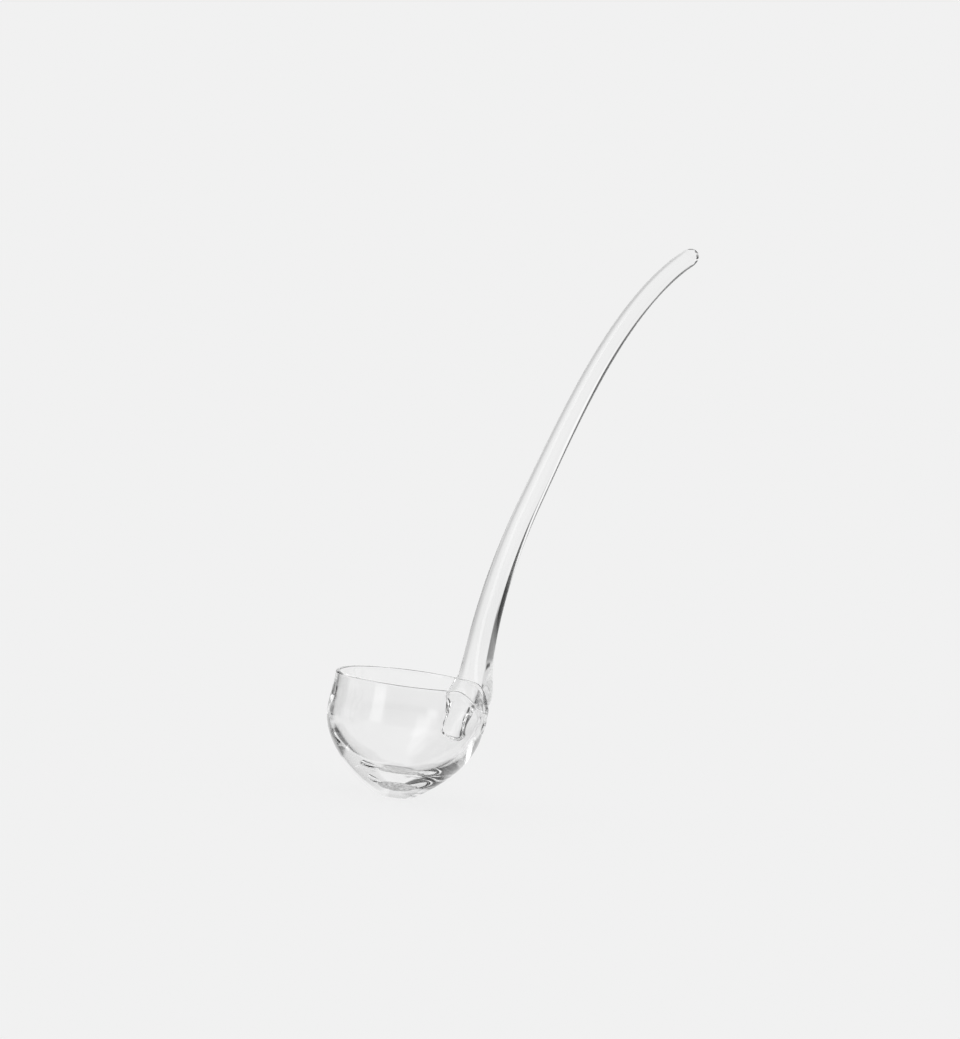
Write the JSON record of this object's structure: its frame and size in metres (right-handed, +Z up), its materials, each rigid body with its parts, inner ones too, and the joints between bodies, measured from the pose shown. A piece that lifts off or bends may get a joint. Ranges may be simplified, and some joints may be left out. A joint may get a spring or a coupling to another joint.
{
  "type": "punch ladle",
  "caption": "Clear glass punch ladle: a round thick-bottomed bowl with a pouring lip, and a solid handle that rises from its wall and sweeps outwards.",
  "frame": {"origin": "centre of the ground flat under the bowl", "axes": "+Z up the bowl's axis towards its mouth, +X from the bowl's axis towards the handle, the pouring lip on the -Y side"},
  "size_m": [0.2204, 0.084, 0.3145],
  "materials": {
    "bowl_glass": "clear blown glass, fire-polished, with a finely ground flat underneath",
    "handle_glass": "clear solid drawn glass, fire-polished, with faint lengthwise drawing lines"
  },
  "bodies": {
    "root": {"bowl": "bowl_glass", "handle": "handle_glass"}
  },
  "joints": []
}
